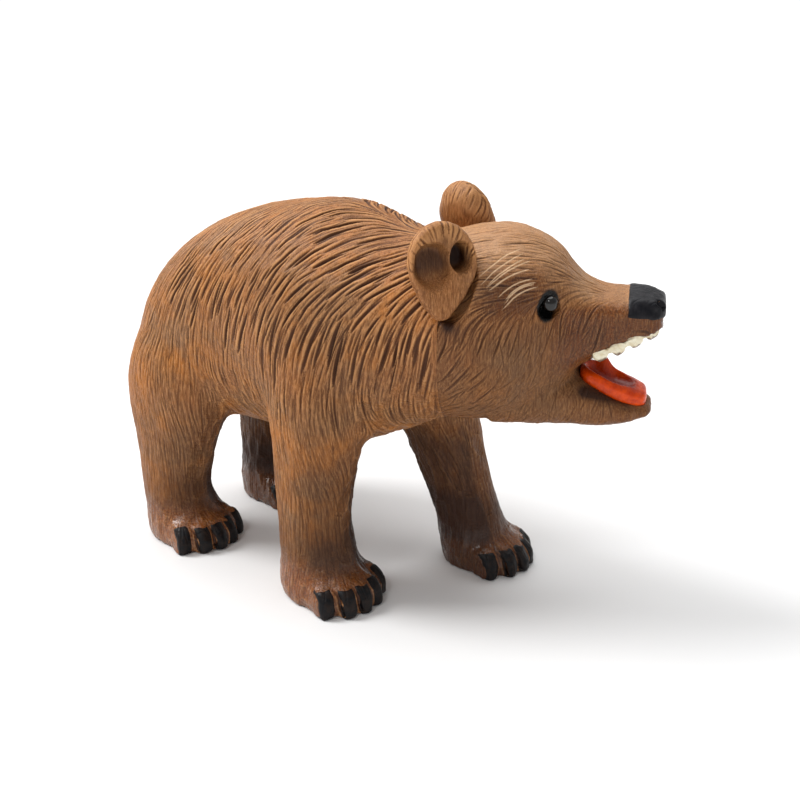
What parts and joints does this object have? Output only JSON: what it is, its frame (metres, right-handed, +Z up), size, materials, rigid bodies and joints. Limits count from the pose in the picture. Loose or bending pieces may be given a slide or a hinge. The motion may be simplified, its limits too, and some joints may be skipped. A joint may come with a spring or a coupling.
{
  "type": "carved bear figurine",
  "caption": "Carved wooden bear standing on all fours, head turned to its left, jaws open, glass eyes, painted claws.",
  "frame": {"origin": "middle of the footprint box, on the plane that the paws stand on", "axes": "+X ahead of the bear along its body, +Y to its left, +Z up"},
  "size_m": [0.1544, 0.0721, 0.1086],
  "materials": {
    "stained_wood": "brown stain, hand-carved fur cuts, satin, worn lighter on ridges",
    "stained_face_wood": "brown stain, fine carved hair, satin",
    "stained_ear_wood": "brown stain, smooth gouge cuts, satin",
    "bare_wood": "unstained",
    "black_glass": "opaque black, polished",
    "wire": "drawn wire",
    "black_paint": "black paint on carved wood, satin",
    "claw_paint": "black paint on carved wood, satin",
    "red_paint": "orange-red enamel on carved wood, gloss",
    "tooth_paint": "cream-white paint on carved wood, worn tips"
  },
  "bodies": {
    "root": {"body_block": "stained_wood", "head_block": "stained_face_wood", "neck_dowel": "bare_wood", "ear_right": "stained_ear_wood", "ear_left": "stained_ear_wood", "eye_bead_right": "black_glass", "eye_bead_left": "black_glass", "eye_shank_right": "wire", "eye_shank_left": "wire", "nose": "black_paint", "tongue": "red_paint", "upper_teeth_right": "tooth_paint", "upper_teeth_left": "tooth_paint", "incisors": "tooth_paint", "claw_front_right_1": "claw_paint", "claw_front_right_2": "claw_paint", "claw_front_right_3": "claw_paint", "claw_front_right_4": "claw_paint", "claw_front_right_5": "claw_paint", "claw_front_left_1": "claw_paint", "claw_front_left_2": "claw_paint", "claw_front_left_3": "claw_paint", "claw_front_left_4": "claw_paint", "claw_front_left_5": "claw_paint", "claw_hind_right_1": "claw_paint", "claw_hind_right_2": "claw_paint", "claw_hind_right_3": "claw_paint", "claw_hind_right_4": "claw_paint", "claw_hind_right_5": "claw_paint", "claw_hind_left_1": "claw_paint", "claw_hind_left_2": "claw_paint", "claw_hind_left_3": "claw_paint", "claw_hind_left_4": "claw_paint", "claw_hind_left_5": "claw_paint"}
  },
  "joints": []
}
